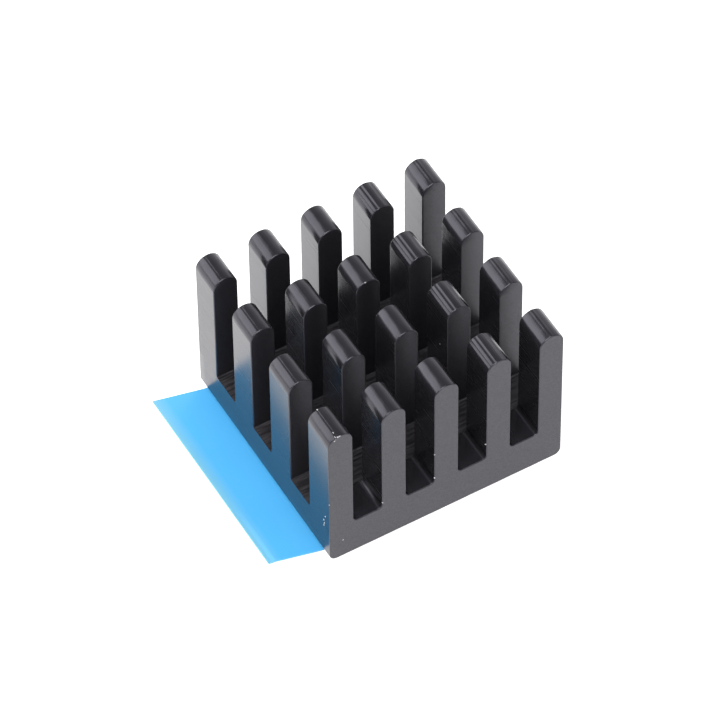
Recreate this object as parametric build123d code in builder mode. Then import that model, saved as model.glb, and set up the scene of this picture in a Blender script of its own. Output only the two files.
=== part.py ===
"""Black anodised pin heat sink with its bonding tape and the peel-off film that covers the tape.

Millimetres, +Z up. X runs across the fins and Y along the extrusion. The origin is on the plane that
the part rests on, under the middle of the sink's footprint.
"""
from build123d import *

import os
from math import cos, radians, sin

os.makedirs("parts", exist_ok=True)

# Extruded section of the sink
width = 15.0
sink_height = 11.0
base_thickness = 2.71
fin_count = 5
fin_thickness = 1.54
channel_root_radius = 0.25
base_corner_radius = 0.45

# Length cut from the bar, and the cross cuts that turn the fins into pins, run a little into the channels
depth = 14.77
cut_count = 3
cut_width = 2.02
cut_pitch = 4.2
first_cut_centre = 3.33
cut_overrun = 0.1
edge_break = 0.06

# Double-sided bonding tape under the base, set slightly towards the far end
tape_length = 14.0
tape_width = 13.26
tape_thickness = 0.25
tape_shift = 0.31

# Peel-off film: it covers the tape and runs on past the left face as a lifted tab
film_thickness = 0.08
tab_bend_radius = 2.0
tab_lift_angle = 17.6
tab_reach = 3.34

# Heights and places that follow from the sizes above
tape_bottom = film_thickness
base_bottom = tape_bottom + tape_thickness
fin_pitch = (width - fin_thickness) / (fin_count - 1)
fin_tip_centre = base_bottom + sink_height - fin_thickness / 2
channel_floor = base_bottom + base_thickness
cut_floor = channel_floor - cut_overrun
cut_centres = [first_cut_centre - depth / 2 + i * cut_pitch for i in range(cut_count)]
fin_top = base_bottom + sink_height


def is_channel_root(vertex):
    """A corner between a channel's floor and a fin, inside the section's outline"""
    inside = abs(vertex.X) < width / 2 - fin_thickness / 2
    return inside and abs(vertex.Y - channel_floor) < 0.001


def is_outline(edge):
    """An edge that a saw left round a sawn face, and not the line where a cut's wall meets its floor"""
    return abs(edge.center().Z - cut_floor) > 0.001


# The sink: one extruded section with round-topped fins, cross cut and then deburred
with BuildPart() as heat_sink:
    with BuildSketch(Plane.XZ) as section:
        with Locations((0, base_bottom)):
            Rectangle(width, base_thickness, align=(Align.CENTER, Align.MIN))
        with Locations((0, channel_floor)):
            with GridLocations(fin_pitch, 0, fin_count, 1):
                Rectangle(
                    fin_thickness,
                    fin_tip_centre - channel_floor,
                    align=(Align.CENTER, Align.MIN),
                )
        with Locations((0, fin_tip_centre)):
            with GridLocations(fin_pitch, 0, fin_count, 1):
                Circle(fin_thickness / 2)
        fillet(section.vertices().filter_by(is_channel_root), radius=channel_root_radius)
        fillet(section.vertices().group_by(Axis.Y)[0], radius=base_corner_radius)
    extrude(amount=depth / 2, both=True)
    with BuildSketch(Plane.YZ):
        with Locations(*[(centre, cut_floor) for centre in cut_centres]):
            Rectangle(cut_width, fin_top - cut_floor + 1, align=(Align.CENTER, Align.MIN))
    extrude(amount=width, both=True, mode=Mode.SUBTRACT)
    sawn_edges = ShapeList()
    for sawn_face in heat_sink.faces().filter_by(Axis.Y):
        sawn_edges += sawn_face.edges().filter_by(is_outline)
    chamfer(sawn_edges, length=edge_break)
heat_sink.part.label = "heat_sink"
export_step(heat_sink.part, "parts/heat_sink.step")

# The tape: a thin pad between the film and the underside of the base
with BuildPart() as bonding_tape:
    with Locations((0, tape_shift, tape_bottom)):
        Box(tape_length, tape_width, tape_thickness, align=(Align.CENTER, Align.CENTER, Align.MIN))
bonding_tape.part.label = "bonding_tape"
export_step(bonding_tape.part, "parts/bonding_tape.step")

# The film: flat under the tape, then bent up from the tape's left edge into a straight tab
bend_run = tab_bend_radius * sin(radians(tab_lift_angle))
tab_run = tab_reach + (width - tape_length) / 2 - bend_run
with BuildPart() as release_film:
    with BuildSketch(Plane.XZ.offset(-tape_shift)) as film_section:
        with BuildLine() as film_edge:
            flat = Line((tape_length / 2, tape_bottom), (-tape_length / 2, tape_bottom))
            bend = JernArc(
                start=flat @ 1,
                tangent=flat % 1,
                radius=tab_bend_radius,
                arc_size=-tab_lift_angle,
            )
            tab = PolarLine(
                start=bend @ 1,
                length=tab_run / cos(radians(tab_lift_angle)),
                direction=bend % 1,
            )
            offset(amount=film_thickness, side=Side.LEFT)
        make_face()
    extrude(amount=tape_width / 2, both=True)
release_film.part.label = "release_film"
export_step(release_film.part, "parts/release_film.step")
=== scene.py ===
"""Looks of the pin heat sink: black anodised metal, bonding tape, release film, floor, light and camera.

Lengths are in millimetres until they reach Blender, where MM turns them into metres.
"""
import math
import random
from typing import NamedTuple

import bmesh
import bpy
import numpy as np
from mathutils import Matrix, Vector, noise


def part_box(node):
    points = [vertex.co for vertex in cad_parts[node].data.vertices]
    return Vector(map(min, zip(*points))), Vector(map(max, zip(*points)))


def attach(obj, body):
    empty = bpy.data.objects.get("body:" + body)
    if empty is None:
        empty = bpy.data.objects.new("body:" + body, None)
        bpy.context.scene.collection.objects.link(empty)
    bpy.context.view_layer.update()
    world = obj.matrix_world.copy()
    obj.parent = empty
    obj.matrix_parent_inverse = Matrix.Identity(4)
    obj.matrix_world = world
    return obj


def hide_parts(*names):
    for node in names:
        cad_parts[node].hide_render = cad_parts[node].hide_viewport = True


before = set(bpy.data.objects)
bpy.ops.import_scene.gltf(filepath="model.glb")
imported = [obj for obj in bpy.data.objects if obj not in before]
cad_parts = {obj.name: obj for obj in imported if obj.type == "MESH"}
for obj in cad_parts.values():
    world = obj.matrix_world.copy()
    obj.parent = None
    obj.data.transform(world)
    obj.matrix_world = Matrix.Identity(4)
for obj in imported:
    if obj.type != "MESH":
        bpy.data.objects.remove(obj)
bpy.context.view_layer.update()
MM = 0.001

# Camera, fitted to the photograph's 720 x 720 frame
AIM = (-0.878, 0.627, 5.399)
AZIMUTH = -29.649
ELEVATION = 51.9
ROLL = 0.724
DISTANCE = 353.789
SENSOR = 36.0
LENS = 315.87
CLIP_NEAR = 10.0
CLIP_FAR = 10000.0

# Section of the sink
FIN_COUNT = 5
FIN_THICKNESS = 1.54
BASE_THICKNESS = 2.71
ROOT_RADIUS = 0.25
CORNER_RADIUS = 0.45
EDGE_RADIUS = 0.07

# Cross cuts, measured from the near end
CUT_COUNT = 3
FIRST_CUT = 3.33
CUT_PITCH = 4.2
CUT_WIDTH = 2.02
CUT_OVERRUN = 0.1
CUT_HEIGHT = BASE_THICKNESS - CUT_OVERRUN
CUT_ROOT = 0.08

# How far each cut's near wall and far wall stand from their places, as the saw left them
CUT_DRIFTS = ((-0.08, 0.0), (0.0, 0.0), (-0.09, -0.03))

# The height that is left where nothing is cut away
UNCUT = math.inf

# Height over a cut's foot at which its broken edges reach their full depth
EDGE_FADE = 0.3

# How finely each stretch of the sink is divided
TIP_STEPS = 72
WALL_STEPS = 3
SIDE_STEPS = 3
ROOT_STEPS = 6
CHANNEL_STEPS = 10
CUT_STEPS = 10
EDGE_STEPS = 3
PIN_STEPS = 3
BOTTOM_STEPS = 30

# Points on the same step of this grid become one, and edges that turn by more degrees than CREASE are sharp
WELD_GRID = 0.0001
CREASE = 32.0

# Heights of the marks that the die and the saw leave everywhere, and the share of the die's on flat faces
DIE_LINE = 0.0013
SAW_LINE = 0.003
FLAT_SHARE = 0.3

# The saw's chatter on the cut floors: its height, and how quickly it changes along X, Y and Z
CHATTER = 0.008
CHATTER_RATE = (3.5, 4.5, 0.0)

# How unevenly the edges are broken, and how quickly that changes along X, Y and Z
EDGE_WOBBLE = 0.35
WOBBLE_RATE = (1.4, 0.5, 1.4)

# Strong die lines along each fin's round top: angle around the top in degrees, and height there
DIE_RIDGES = (
    ((122, 0.0), (112.5, 0.004), (110, 0.004), (107.5, -0.003), (105, -0.009), (102.5, -0.004),
     (100, 0.001), (97.5, -0.003), (95, -0.004), (90, -0.002), (82, 0.0)),
    ((131, 0.0), (124, 0.002), (118, 0.0)),
    ((137, 0.0), (131, 0.002), (126, -0.001), (120, 0.0), (81, 0.0), (75, 0.002), (69, 0.0)),
    ((143, 0.0), (138, -0.006), (134.5, -0.001), (128.5, 0.022), (125, 0.022), (121, 0.026), (117, 0.016),
     (111, -0.009), (108, -0.009), (102, 0.026), (95, 0.017), (88, 0.017), (78, 0.008), (70, -0.013),
     (62, -0.02), (52, 0.0)),
    ((103, 0.0), (101, 0.002), (91, 0.038), (79, 0.0), (70, -0.004), (58, 0.0)),
)

# Chips in the black coat, where bare metal shows: place, then size along X, Y and Z
CHIPS = (
    ((-6.87, -7.360, 11.27), (0.15, 0.07, 0.07)),
    ((-6.765, -7.360, 11.285), (0.17, 0.07, 0.06)),
    ((-7.0, -7.275, 11.265), (0.07, 0.15, 0.045)),
    ((-6.95, -6.995, 11.3), (0.05, 0.12, 0.03)),
    ((-7.1, -7.370, 11.075), (0.12, 0.06, 0.09)),
    ((-7.03, -7.365, 11.13), (0.08, 0.05, 0.07)),
    ((-6.9, -5.185, 11.295), (0.1, 0.1, 0.06)),
    ((-7.485, -7.370, 5.54), (0.06, 0.06, 0.07)),
    ((-7.495, -6.915, 3.96), (0.04, 0.1, 0.14)),
    ((-7.495, -6.735, 3.47), (0.04, 0.12, 0.16)),
    ((-7.495, -6.785, 3.24), (0.04, 0.08, 0.2)),
    ((-7.495, -6.745, 3.0), (0.04, 0.09, 0.24)),
    ((-6.655, -7.380, 1.77), (0.1, 0.03, 0.1)),
    ((-4.1, -7.360, 3.46), (0.1, 0.08, 0.09)),
    ((-0.75, -7.355, 5.6), (0.09, 0.08, 0.1)),
    ((-0.75, -7.360, 3.48), (0.09, 0.08, 0.1)),
    ((2.58, -7.315, 4.28), (0.12, 0.09, 0.06)),
    ((-0.17, 1.165, 11.295), (0.12, 0.07, 0.06)),
    ((2.6, -2.275, 7.78), (0.04, 0.1, 0.12)),
)
CHIP_GROWTH = (0.75, 1.15)

# Seeds of the sink's marks and of the chips' forms
SINK_SEED = 11
CHIP_SEED = 5

# Release film: its bend and how far its tab stands out from the sink
FILM_THICKNESS = 0.08
BEND_RADIUS = 2.0
LIFT_ANGLE = 17.6
TAB_REACH = 3.34

# How far the tab twists and waves towards its end, and how the wave runs across it and along it
TAB_TWIST = 0.1
TAB_WAVE = 0.018
WAVE_ACROSS = 9.0
WAVE_PHASE = 1.0
WAVE_ALONG = 3.1

# The share of the tab's length beyond which nothing lifts it, and the share of its height it may sink by
LEVEL_END = 0.9
MOST_SINK = 0.5

# How finely the film is divided: under the tape, in the bend, along the tab and across
FLAT_STEPS = 30
BEND_STEPS = 8
TAB_STEPS = 24
ACROSS_STEPS = 40

# Colours of the black coat, of the cut floors, of bare metal, and of the tape, each with its other extreme;
# the cut floors' brownish tone is their own, and their lighter chatter ridges and darker furrows are painted
# shade
COAT_COLOURS = ((0.009, 0.0086, 0.0102, 1), (0.014, 0.0134, 0.0158, 1))
CHATTER_TONE_AND_SHADE = ((0.008, 0.0072, 0.0074, 1), (0.03, 0.0275, 0.028, 1))
METAL_COLOURS = ((0.42, 0.42, 0.43, 1), (0.72, 0.72, 0.74, 1))
TAPE_COLOURS = ((0.72, 0.72, 0.70, 1), (0.82, 0.82, 0.80, 1))

# The film's colours, at the tab's end and further in, and the stretch along X over which they change; the
# change is painted light and shade for how the sink shades the film and how light falls on the lifted tab
FILM_COLOURS = ((0.225, 0.575, 0.79, 1), (0.1, 0.52, 1.0, 1))
FILM_LIGHT_SPAN = (-10.85, -9.9)

# How much the film's colour wanders, as shares of the way from the first colour to the second
FILM_CLOUD = (-0.06, 0.06)

# Roughness of the coat where the die or the saw left it, what the fillets add, and roughness of the rest
DIE_ROUGHNESS = (0.21, 0.28)
SAW_ROUGHNESS = (0.37, 0.5)
ROOT_ROUGHNESS = 0.1
METAL_ROUGHNESS = (0.4, 0.6)
TAPE_ROUGHNESS = (0.55, 0.7)
FILM_ROUGHNESS = (0.28, 0.36)

# Reflection: of the coat, of bare metal and of the film
COAT_IOR = 1.61
COAT_TINT = (0.88, 0.86, 1.0, 1)
METAL_SHARE = 0.6
FILM_IOR = 1.45

# Fine relief of the coat: its height, and the shares of the die's lines, of the grain and of the chatter
RELIEF_STRENGTH = 0.3
RELIEF_HEIGHT = 0.0016
LINE_RELIEF = (0.35, 1.4)
GRAIN_RELIEF = (1.0, 12.0)
CHATTER_RELIEF = 160.0

# Ranges of the normal's share along an axis that tell one kind of face from another
FACING = (0.5, 0.8)
STEEP = (0.05, 0.2)
NEARLY_LEVEL = (0.96, 0.99)
TOPSIDE = (0.05, 0.3)

# Ranges of the height over the cut floors where a place stops counting as a cut floor, and as a fillet
FLOOR_RISES = (0.02, 0.05)
ROOT_RISES = (0.4, 0.5)

# The whole range of a share, and the parts of a noise's range that most of its values lie in
WHOLE = (0.0, 1.0)
MIDDLE = (0.3, 0.7)
GRAIN_MIDDLE = (0.4, 0.6)
CHATTER_MIDDLE = (0.42, 0.58)

# Floor, and the world's light by height, by near side and far side, and by left and right
FLOOR_SIZE = 3000.0
FLOOR_GLOW = 0.8
FLOOR_COLOUR = (0.72, 0.72, 0.72, 1)
HORIZON_LIGHT = 1.05
SKY_LIGHT = 0.34
SKY_HEIGHTS = (0.1, 0.9)
NEAR_SHARE = 0.5
NEAR_TO_FAR = (-0.6, 0.4)
LEFT_SHARE = 0.92
RIGHT_SHARE = 1.15
LEFT_TO_RIGHT = (0.2, 0.6)

# Soft lamps: name, place, side length and power
LAMPS = (
    ("front_softbox", (-300.0, -400.0, 870.0), 900.0, 12.0),
    ("side_softbox", (-500.0, 460.0, 425.0), 720.0, 3.7),
)


def span(node):
    """Lowest and highest corner of a CAD node, in millimetres"""
    low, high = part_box(node)
    return Vector(low) / MM, Vector(high) / MM


def smooth_step(value, start, end):
    """0 below start, 1 above end, and a smooth curve between them"""
    part = np.clip((value - start) / (end - start), 0, 1)
    return part * part * (3 - 2 * part)


def unevenness(x, y, z, rate):
    """Smooth values from about -1 to 1; rate is how quickly they change along X, Y and Z"""
    along_x, along_y, along_z = rate
    return np.array([noise.noise(Vector((a * along_x, y * along_y, c * along_z))) for a, c in zip(x, z)])


class Outline:
    """Points along the closed outline of the extruded section, each with its outward direction"""

    def __init__(self):
        self.points = []

    def add(self, x, z, nx, nz, line, ridge=0.0):
        """A point, its outward direction, its share of fine die lines and its height on a strong one"""
        self.points.append((x, z, nx, nz, line, ridge))

    def straight(self, start, end, steps, line=0.0):
        """A straight run, without its last point; outward is to the left of the way that it goes"""
        dx, dz = end[0] - start[0], end[1] - start[1]
        length = math.hypot(dx, dz)
        for i in range(steps):
            share = i / steps
            self.add(start[0] + dx * share, start[1] + dz * share, -dz / length, dx / length, line)

    def levels(self, x, heights, side):
        """A wall at x through the heights, without the last; side is -1 on the left and 1 on the right"""
        for z in heights[:-1]:
            self.add(x, z, side, 0.0, FLAT_SHARE)

    def arc(self, centre, radius, start, end, steps, hollow=False):
        """An arc in degrees, without its last point; hollow is an inside corner"""
        sign = -1.0 if hollow else 1.0
        for i in range(steps):
            t = math.radians(start + (end - start) * i / steps)
            c, s = math.cos(t), math.sin(t)
            self.add(centre[0] + radius * c, centre[1] + radius * s, sign * c, sign * s, 0.0)

    def tip(self, centre, radius, ridges):
        """A fin's round top from left to right, without its last point, with its strong die lines"""
        angles = [-angle for angle, _ in ridges]
        heights = [height for _, height in ridges]
        for i in range(TIP_STEPS):
            angle = 180 - 180 * i / TIP_STEPS
            c, s = math.cos(math.radians(angle)), math.sin(math.radians(angle))
            ridge = float(np.interp(-angle, angles, heights))
            self.add(centre[0] + radius * c, centre[1] + radius * s, c, s, 1.0, ridge)


def sink_outline(low, high, foot_heights, wall_heights):
    """The section, clockwise as seen from the near end: up the left, over the fins and back underneath"""
    out = Outline()
    floor = low.z + BASE_THICKNESS
    half = FIN_THICKNESS / 2
    pitch = (high.x - low.x - FIN_THICKNESS) / (FIN_COUNT - 1)
    outer_foot = low.z + CORNER_RADIUS
    r = ROOT_RADIUS
    for i in range(FIN_COUNT):
        centre = low.x + half + i * pitch
        left, right = centre - half, centre + half
        if i == 0:
            out.straight((left, outer_foot), (left, foot_heights[0]), SIDE_STEPS, line=FLAT_SHARE)
            out.levels(left, foot_heights + wall_heights[:1], -1.0)
        out.levels(left, wall_heights, -1.0)
        out.tip((centre, high.z - half), half, DIE_RIDGES[i])
        out.levels(right, wall_heights[::-1], 1.0)
        if i < FIN_COUNT - 1:
            next_left = right + pitch - FIN_THICKNESS
            out.arc((right + r, floor + r), r, 180, 270, ROOT_STEPS, hollow=True)
            out.straight((right + r, floor), (next_left - r, floor), CHANNEL_STEPS, line=FLAT_SHARE)
            out.arc((next_left - r, floor + r), r, 270, 360, ROOT_STEPS, hollow=True)
        else:
            out.levels(right, wall_heights[:1] + foot_heights[::-1], 1.0)
            out.straight((right, foot_heights[0]), (right, outer_foot), SIDE_STEPS, line=FLAT_SHARE)
    c = CORNER_RADIUS
    out.arc((high.x - c, low.z + c), c, 0, -90, ROOT_STEPS)
    out.straight((high.x - c, low.z), (low.x + c, low.z), BOTTOM_STEPS, line=FLAT_SHARE)
    out.arc((low.x + c, low.z + c), c, 270, 180, ROOT_STEPS)
    return np.array(out.points).T


class Station(NamedTuple):
    """A section across the sink: its place, the height that is left there, and how far its edge is broken"""

    y: float
    top: float
    inset: float
    at_end: bool = False


def pin_stations(start, end, row):
    """One row of pins from its near face to its far face, with the edges of both faces rounded"""
    turns = [math.radians(90 * i / EDGE_STEPS) for i in range(EDGE_STEPS + 1)]
    near = [(EDGE_RADIUS * (1 - math.cos(t)), EDGE_RADIUS * (1 - math.sin(t))) for t in turns]
    stations = [Station(start + y, UNCUT, inset, row == 0) for y, inset in near]
    for i in range(1, PIN_STEPS):
        y = start + EDGE_RADIUS + (end - start - 2 * EDGE_RADIUS) * i / PIN_STEPS
        stations.append(Station(y, UNCUT, 0.0))
    stations += [Station(end - y, UNCUT, inset, row == CUT_COUNT) for y, inset in reversed(near)]
    return stations


def cut_stations(near_wall, far_wall, cut_floor, wall_heights, dice):
    """One cross cut: down its near wall, over its floor with the saw's marks, and up its far wall"""
    foot = cut_floor + CUT_ROOT
    heights = [z for z in wall_heights if z > foot]
    turns = [math.radians(90 * i / ROOT_STEPS) for i in range(ROOT_STEPS + 1)]
    root = [(CUT_ROOT * (1 - math.cos(t)), foot - CUT_ROOT * math.sin(t)) for t in turns]
    stations = [Station(near_wall, z, EDGE_RADIUS) for z in reversed(heights)]
    stations += [Station(near_wall + y, z, EDGE_RADIUS) for y, z in root]
    for i in range(1, CUT_STEPS):
        y = near_wall + CUT_ROOT + (far_wall - near_wall - 2 * CUT_ROOT) * i / CUT_STEPS
        stations.append(Station(y, cut_floor + dice.uniform(-SAW_LINE, SAW_LINE), EDGE_RADIUS))
    stations += [Station(far_wall - y, z, EDGE_RADIUS) for y, z in reversed(root)]
    stations += [Station(far_wall, z, EDGE_RADIUS) for z in heights]
    return stations


def sink_stations(low, high, cut_floor, wall_heights, dice):
    """From the near end to the far end: rows of pins with rounded edges, and the cuts between them"""
    centres = [low.y + FIRST_CUT + i * CUT_PITCH for i in range(CUT_COUNT)]
    near_walls = [c - CUT_WIDTH / 2 + drift for c, (drift, _) in zip(centres, CUT_DRIFTS)]
    far_walls = [c + CUT_WIDTH / 2 + drift for c, (_, drift) in zip(centres, CUT_DRIFTS)]
    stations = []
    for row, (start, end) in enumerate(zip([low.y] + far_walls, near_walls + [high.y])):
        stations += pin_stations(start, end, row)
        if row < CUT_COUNT:
            stations += cut_stations(end, far_walls[row], cut_floor, wall_heights, dice)
    return stations


def edge_depth(station, x, z, cut_floor):
    """How deep the edge is broken at each point: unevenly, and less and less down to a cut's floor"""
    fade = 1.0 if station.at_end else smooth_step(z, cut_floor, cut_floor + CUT_ROOT + EDGE_FADE)
    wobble = 1 + EDGE_WOBBLE * unevenness(x, station.y, z, WOBBLE_RATE)
    return station.inset * fade * wobble


def sink_row(station, outline, ripple, cut_floor):
    """The section at one station: rippled by the die, broken at its edge and cut down to what is left"""
    x, z, nx, nz = outline
    sawn = station.at_end | (z > cut_floor - SAW_LINE)
    rise = ripple * np.where(sawn, 1 - station.inset / EDGE_RADIUS, 1.0)
    new_z = np.minimum(z + nz * (rise - edge_depth(station, x, z, cut_floor)), station.top)
    new_x = x + nx * (rise - edge_depth(station, x, new_z, cut_floor))
    on_floor = (new_z == station.top) & (station.top < cut_floor + 2 * SAW_LINE)
    new_z = new_z + on_floor * CHATTER * unevenness(new_x, station.y, z, CHATTER_RATE)
    return np.stack([new_x, np.full_like(x, station.y), new_z], axis=1)


def smooth_object(name, bm):
    """An object in the scene from a mesh being edited, smooth apart from its sharp edges"""
    for face in bm.faces:
        face.smooth = True
    mesh = bpy.data.meshes.new(name)
    bm.to_mesh(mesh)
    bm.free()
    piece = bpy.data.objects.new(name, mesh)
    bpy.context.scene.collection.objects.link(piece)
    return piece


def mesh_object(name, points, faces):
    """A smooth object from points in millimetres, sharp where faces turn by more than the crease angle"""
    draft = bpy.data.meshes.new("draft")
    draft.from_pydata([tuple(float(v) * MM for v in p) for p in points], [], faces)
    draft.validate()
    bm = bmesh.new()
    bm.from_mesh(draft)
    bpy.data.meshes.remove(draft)
    bmesh.ops.recalc_face_normals(bm, faces=bm.faces)
    limit = math.radians(CREASE)
    for edge in bm.edges:
        edge.smooth = edge.is_manifold and edge.calc_face_angle(0.0) < limit
    return smooth_object(name, bm)


def weld(points, quads):
    """Joins points that coincide, and drops the faces that collapse"""
    keys = np.round(points / WELD_GRID).astype(np.int64)
    _, first, inverse = np.unique(keys, axis=0, return_index=True, return_inverse=True)
    inverse = inverse.reshape(-1)
    faces = []
    for quad in quads:
        ring = []
        for index in inverse[list(quad)]:
            if index not in ring:
                ring.append(int(index))
        if len(ring) > 2:
            faces.append(ring)
    return points[first], faces


def build_sink():
    """The sink as one closed mesh: the section swept through the stations and cut down by the cross cuts"""
    low, high = span("heat_sink")
    dice = random.Random(SINK_SEED)
    cut_floor = low.z + CUT_HEIGHT
    foot = cut_floor + CUT_ROOT
    wall_foot = low.z + BASE_THICKNESS + ROOT_RADIUS
    wall_rise = high.z - FIN_THICKNESS / 2 - wall_foot
    foot_heights = [cut_floor, foot, (foot + wall_foot) / 2]
    wall_heights = [wall_foot + wall_rise * i / WALL_STEPS for i in range(WALL_STEPS + 1)]
    *outline, line, ridge = sink_outline(low, high, foot_heights, wall_heights)
    stations = sink_stations(low, high, cut_floor, wall_heights, dice)
    ripple = ridge + np.array([dice.gauss(0, 1) for _ in line]) * line * DIE_LINE

    points = np.concatenate([sink_row(station, outline, ripple, cut_floor) for station in stations])
    n = len(line)
    far_end = (len(stations) - 1) * n
    quads = []
    for j in range(0, far_end, n):
        for i in range(n):
            k = (i + 1) % n
            quads.append((j + i, j + k, j + n + k, j + n + i))
    quads.append(tuple(range(n)))
    quads.append(tuple(reversed(range(far_end, far_end + n))))
    sink = mesh_object("anodised_sink", *weld(points, quads))
    sink.modifiers.new("even_normals", "WEIGHTED_NORMAL").keep_sharp = True
    return sink


def build_chips():
    """Small uneven flecks of bare metal, set into the sink's edges and faces"""
    dice = random.Random(CHIP_SEED)
    bm = bmesh.new()
    for place, size in CHIPS:
        fleck = bmesh.ops.create_icosphere(bm, subdivisions=2, radius=0.5)
        for vert in fleck["verts"]:
            grow = dice.uniform(*CHIP_GROWTH)
            vert.co = Vector([(p + c * s * grow) * MM for p, c, s in zip(place, vert.co, size)])
    return smooth_object("coat_chips", bm)


def film_path(half, bend_run, tab_run):
    """The film's underside from right to left as X, height and slope: flat, then bent, then straight"""
    angle = math.radians(LIFT_ANGLE)
    path = [(half - 2 * half * i / FLAT_STEPS, 0.0, 0.0) for i in range(FLAT_STEPS)]
    for i in range(BEND_STEPS):
        t = angle * i / BEND_STEPS
        path.append((-half - BEND_RADIUS * math.sin(t), BEND_RADIUS * (1 - math.cos(t)), t))
    bend_rise = BEND_RADIUS * (1 - math.cos(angle))
    for i in range(TAB_STEPS + 1):
        run = tab_run * i / TAB_STEPS
        path.append((-half - bend_run - run, bend_rise + run * math.tan(angle), angle))
    return path


def tab_lift(out, across):
    """How far the tab's twist and wave lift a place, from its shares of the way out and of the way across"""
    twist = (0.5 - across) * TAB_TWIST * out
    wave = TAB_WAVE * out * math.sin(across * WAVE_ACROSS + WAVE_PHASE) * math.sin(out * WAVE_ALONG)
    return min(twist + wave, 0.0) if out > LEVEL_END else twist + wave


def build_film():
    """The release film: a thin closed sheet that follows the tape, bends up and ends in an uneven tab"""
    low, high = span("release_film")
    sink_low = span("heat_sink")[0]
    tape_low, tape_high = span("bonding_tape")
    half = (tape_high.x - tape_low.x) / 2
    bend_run = BEND_RADIUS * math.sin(math.radians(LIFT_ANGLE))
    tab_run = TAB_REACH + tape_low.x - sink_low.x - bend_run
    path = film_path(half, bend_run, tab_run)
    top, bottom = [], []
    for x, z, slope in path:
        out = max(0.0, (-half - x) / (bend_run + tab_run))
        for j in range(ACROSS_STEPS + 1):
            across = j / ACROSS_STEPS
            y = low.y + (high.y - low.y) * across
            base = z + max(tab_lift(out, across), -z * MOST_SINK)
            bottom.append((x, y, base))
            top.append((x + FILM_THICKNESS * math.sin(slope), y, base + FILM_THICKNESS * math.cos(slope)))

    n = ACROSS_STEPS + 1
    under = len(top)
    left_end = (len(path) - 1) * n
    faces = []
    for near in range(0, left_end, n):
        far = near + ACROSS_STEPS
        for j in range(near, far):
            faces.append((j, j + 1, j + 1 + n, j + n))
            faces.append((j + under, j + n + under, j + 1 + n + under, j + 1 + under))
        faces.append((near, near + n, near + n + under, near + under))
        faces.append((far, far + under, far + n + under, far + n))
    for j in range(ACROSS_STEPS):
        left = left_end + j
        faces.append((j, j + under, j + 1 + under, j + 1))
        faces.append((left, left + 1, left + 1 + under, left + under))
    return mesh_object("film_sheet", top + bottom, faces)


class Nodes:
    """Short ways to add and link the nodes of one material or world"""

    def __init__(self, owner):
        owner.use_nodes = True
        self.tree = owner.node_tree

    def feed(self, socket, value):
        """Gives a socket a value of its own, or the output of another node"""
        if isinstance(value, bpy.types.NodeSocket):
            self.tree.links.new(value, socket)
        else:
            socket.default_value = value

    def add(self, kind, **settings):
        """A new node; each setting names one of its sockets or options"""
        node = self.tree.nodes.new(kind)
        for key, value in settings.items():
            if key in node.inputs:
                self.feed(node.inputs[key], value)
            else:
                setattr(node, key, value)
        return node

    def math(self, operation, *values):
        """The result of a mathematical operation on numbers or outputs"""
        node = self.add("ShaderNodeMath", operation=operation)
        for socket, value in zip(node.inputs, values):
            self.feed(socket, value)
        return node.outputs[0]

    def map_range(self, value, source, target=WHOLE, interpolation="LINEAR"):
        """A value moved from the source range to the target range, and held at the target's ends"""
        node = self.add("ShaderNodeMapRange", interpolation_type=interpolation)
        keys = ("Value", "From Min", "From Max", "To Min", "To Max")
        for key, setting in zip(keys, (value, *source, *target)):
            self.feed(node.inputs[key], setting)
        return node.outputs["Result"]

    def mix_colours(self, factor, colours):
        """A colour between two, which are fixed or the outputs of other nodes"""
        node = self.add("ShaderNodeMix", data_type="RGBA")
        for index, value in zip((0, 6, 7), (factor, *colours)):
            self.feed(node.inputs[index], value)
        return node.outputs[2]

    def mix_numbers(self, factor, numbers):
        """A number between two, which are fixed or the outputs of other nodes"""
        node = self.add("ShaderNodeMix", data_type="FLOAT")
        for index, value in zip((0, 2, 3), (factor, *numbers)):
            self.feed(node.inputs[index], value)
        return node.outputs[0]

    def axes(self, vector):
        """The X, Y and Z of a place or a direction"""
        return self.add("ShaderNodeSeparateXYZ", Vector=vector).outputs

    def own_place(self):
        """The place on the object, in metres"""
        return self.add("ShaderNodeTexCoord").outputs["Object"]

    def noise(self, scale, stretch=(1.0, 1.0, 1.0), detail=3.0):
        """Noise with scale features per millimetre; a small factor in stretch makes them long on its axis"""
        mapping = self.add("ShaderNodeMapping", Vector=self.own_place(), Scale=[s / MM for s in stretch])
        place = mapping.outputs["Vector"]
        return self.add("ShaderNodeTexNoise", Vector=place, Scale=scale, Detail=detail).outputs["Fac"]


class ShaderNodes(Nodes):
    """The nodes of a new material around its one shader"""

    def __init__(self, name):
        self.material = bpy.data.materials.new(name)
        super().__init__(self.material)
        self.shader = self.tree.nodes["Principled BSDF"]

    def finish(self, **sockets):
        """The finished material; an underscore in a socket's name stands for a space"""
        for key, value in sockets.items():
            self.feed(self.shader.inputs[key.replace("_", " ")], value)
        return self.material


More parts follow.
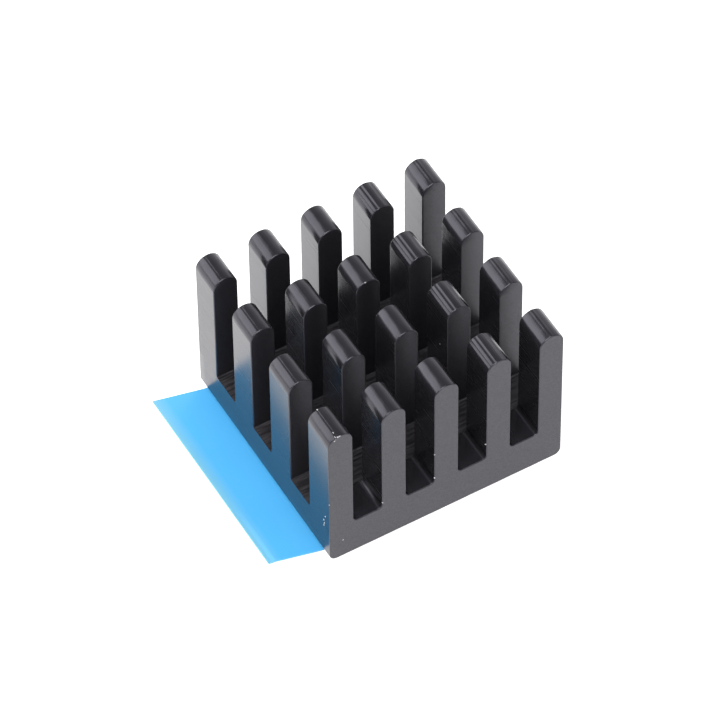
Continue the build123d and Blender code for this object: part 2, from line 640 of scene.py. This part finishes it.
def anodised(floor_height):
    """Black anodised aluminium: satin with the die's lines, matte and speckled where it was sawn"""
    n = ShaderNodes("anodised")
    normal = n.axes(n.add("ShaderNodeNewGeometry").outputs["Normal"])
    place = n.axes(n.own_place())
    chatter = n.noise(1.0, stretch=(0.8, 6.4, 1.0), detail=1.0)
    lines = n.noise(6.0, stretch=(1.0, 0.02, 1.0), detail=4.0)
    grain = n.noise(14.0, detail=2.0)
    patches = n.noise(0.35, detail=3.0)

    # Where the saw has been: on the cut floors, and on every face turned along the extrusion
    off_floor = n.math("ABSOLUTE", n.math("SUBTRACT", place["Z"], floor_height * MM))
    at_floor = n.map_range(off_floor, [rise * MM for rise in FLOOR_RISES], (1.0, 0.0))
    cut_floor = n.math("MULTIPLY", at_floor, n.map_range(normal["Z"], FACING))
    sawn = n.math("MAXIMUM", n.map_range(n.math("ABSOLUTE", normal["Y"]), FACING), cut_floor)

    # Where the fillets at the foot of the channels are
    not_steep = n.map_range(normal["Z"], STEEP)
    not_level = n.map_range(normal["Z"], NEARLY_LEVEL, (1.0, 0.0))
    low = n.map_range(place["Z"], [(floor_height + rise) * MM for rise in ROOT_RISES], (1.0, 0.0))
    root = n.math("MULTIPLY", n.math("MULTIPLY", not_steep, not_level), low)

    tone = n.math("ADD", n.math("MULTIPLY", lines, 0.5), n.math("MULTIPLY", patches, 0.5))
    coat = n.mix_colours(tone, COAT_COLOURS)
    # The cut floors' own brownish tone, lighter on the chatter's ridges and darker in its furrows as painted
    # shade of that relief
    chatter_tone_and_shade = n.mix_colours(n.map_range(chatter, CHATTER_MIDDLE), CHATTER_TONE_AND_SHADE)
    satin = n.map_range(lines, MIDDLE, DIE_ROUGHNESS)
    smooth = n.math("ADD", satin, n.map_range(root, WHOLE, (0.0, ROOT_ROUGHNESS)))
    matte = n.map_range(grain, GRAIN_MIDDLE, SAW_ROUGHNESS)

    streaks = n.math("MULTIPLY", lines, n.map_range(normal["Z"], TOPSIDE, LINE_RELIEF))
    speckle = n.math("MULTIPLY", grain, n.map_range(sawn, WHOLE, GRAIN_RELIEF))
    furrows = n.math("MULTIPLY", n.math("MULTIPLY", chatter, cut_floor), CHATTER_RELIEF)
    height = n.math("ADD", n.math("ADD", streaks, speckle), furrows)
    relief = n.add("ShaderNodeBump", Strength=RELIEF_STRENGTH, Distance=RELIEF_HEIGHT * MM, Height=height)
    return n.finish(
        Base_Color=n.mix_colours(cut_floor, (coat, chatter_tone_and_shade)),
        Roughness=n.mix_numbers(sawn, (smooth, matte)),
        IOR=COAT_IOR,
        Specular_Tint=COAT_TINT,
        Normal=relief.outputs["Normal"],
    )


def bare_metal():
    """Bare aluminium where the coat is chipped, matte and uneven"""
    n = ShaderNodes("bare_metal")
    return n.finish(
        Base_Color=n.mix_colours(n.noise(9.0), METAL_COLOURS),
        Roughness=n.map_range(n.noise(20.0), MIDDLE, METAL_ROUGHNESS),
        Metallic=METAL_SHARE,
    )


def tape():
    """White bonding tape with a faint unevenness"""
    n = ShaderNodes("tape")
    return n.finish(
        Base_Color=n.mix_colours(n.noise(2.0, detail=4.0), TAPE_COLOURS),
        Roughness=n.map_range(n.noise(8.0), MIDDLE, TAPE_ROUGHNESS),
    )


def film():
    """Bright blue release film with a soft gloss, a little paler and greener towards the tab's end as
    painted light and shade
    """
    n = ShaderNodes("film")
    # Painted light and shade: the colour shifts along X for the sink's shade on the film and the light on
    # the tab
    painted_light_inward = n.map_range(n.axes(n.own_place())["X"], [x * MM for x in FILM_LIGHT_SPAN])
    cloud = n.map_range(n.noise(0.4), MIDDLE, FILM_CLOUD)
    return n.finish(
        Base_Color=n.mix_colours(n.math("ADD", painted_light_inward, cloud), FILM_COLOURS),
        Roughness=n.map_range(n.noise(3.0), MIDDLE, FILM_ROUGHNESS),
        IOR=FILM_IOR,
    )


def build_floor():
    """Pale floor that looks white to the camera, gloss and clear materials, and keeps the object's shadow"""
    bpy.ops.mesh.primitive_plane_add(size=FLOOR_SIZE * MM, location=(0, 0, 0))
    floor = bpy.context.object
    floor.name = "floor"
    material = bpy.data.materials.new("floor")
    n = Nodes(material)
    n.tree.nodes.clear()
    ray = n.add("ShaderNodeLightPath").outputs
    seen = n.math("MAXIMUM", ray["Is Camera Ray"], ray["Is Glossy Ray"])
    seen = n.math("MAXIMUM", seen, ray["Is Transmission Ray"])
    diffuse = n.add("ShaderNodeBsdfDiffuse", Color=FLOOR_COLOUR)
    glow = n.add("ShaderNodeEmission", Strength=n.math("MULTIPLY", seen, FLOOR_GLOW))
    both = n.add("ShaderNodeAddShader")
    n.feed(both.inputs[0], diffuse.outputs[0])
    n.feed(both.inputs[1], glow.outputs[0])
    n.add("ShaderNodeOutputMaterial", Surface=both.outputs[0])
    floor.data.materials.append(material)


def build_world():
    """White light from all round, darker overhead and on the camera's side"""
    world = bpy.data.worlds.new("studio")
    bpy.context.scene.world = world
    n = Nodes(world)
    way = n.axes(n.add("ShaderNodeTexCoord").outputs["Generated"])
    by_height = n.map_range(way["Z"], SKY_HEIGHTS, (HORIZON_LIGHT, SKY_LIGHT), "SMOOTHSTEP")
    by_depth = n.map_range(way["Y"], NEAR_TO_FAR, (NEAR_SHARE, 1.0), "SMOOTHSTEP")
    by_side = n.map_range(way["X"], LEFT_TO_RIGHT, (LEFT_SHARE, RIGHT_SHARE), "SMOOTHSTEP")
    light = n.math("MULTIPLY", by_height, n.math("MULTIPLY", by_depth, by_side))
    for_camera = n.add("ShaderNodeLightPath").outputs["Is Camera Ray"]
    background = n.tree.nodes["Background"]
    n.feed(background.inputs["Color"], (1, 1, 1, 1))
    n.feed(background.inputs["Strength"], n.map_range(for_camera, WHOLE, (light, 1.0)))


def build_lamp(name, place, size, energy):
    """A soft square lamp that looks at the object"""
    light = bpy.data.lights.new(name, "AREA")
    light.shape = "SQUARE"
    light.size = size * MM
    light.energy = energy
    lamp = bpy.data.objects.new(name, light)
    bpy.context.scene.collection.objects.link(lamp)
    lamp.location = Vector(place) * MM
    lamp.rotation_euler = (-lamp.location).to_track_quat("-Z", "Y").to_euler()


def build_camera():
    """The photograph's viewpoint"""
    a, e = math.radians(AZIMUTH), math.radians(ELEVATION)
    back = Vector((math.sin(a) * math.cos(e), -math.cos(a) * math.cos(e), math.sin(e)))
    data = bpy.data.cameras.new("camera")
    data.sensor_width = SENSOR
    data.lens = LENS
    data.clip_start, data.clip_end = CLIP_NEAR * MM, CLIP_FAR * MM
    camera = bpy.data.objects.new("camera", data)
    bpy.context.scene.collection.objects.link(camera)
    turn = (-back).to_track_quat("-Z", "Y").to_matrix().to_4x4()
    turn = turn @ Matrix.Rotation(-math.radians(ROLL), 4, "Z")
    camera.matrix_world = Matrix.Translation((Vector(AIM) + back * DISTANCE) * MM) @ turn
    bpy.context.scene.camera = camera


def place_piece(piece, material, node=None):
    """Gives a new piece its material and its place in the model, where it may replace a CAD node"""
    piece.data.materials.append(material)
    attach(piece, "root")
    if node is not None:
        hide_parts(node)


def dress_node(name, material):
    """Gives a CAD node that stays in view a better material"""
    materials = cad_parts[name].data.materials
    materials.clear()
    materials.append(material)


bpy.context.scene.view_settings.view_transform = "Standard"
build_camera()
build_world()
build_floor()
for lamp in LAMPS:
    build_lamp(*lamp)
place_piece(build_sink(), anodised(span("heat_sink")[0].z + CUT_HEIGHT), "heat_sink")
place_piece(build_chips(), bare_metal())
place_piece(build_film(), film(), "release_film")
dress_node("bonding_tape", tape())
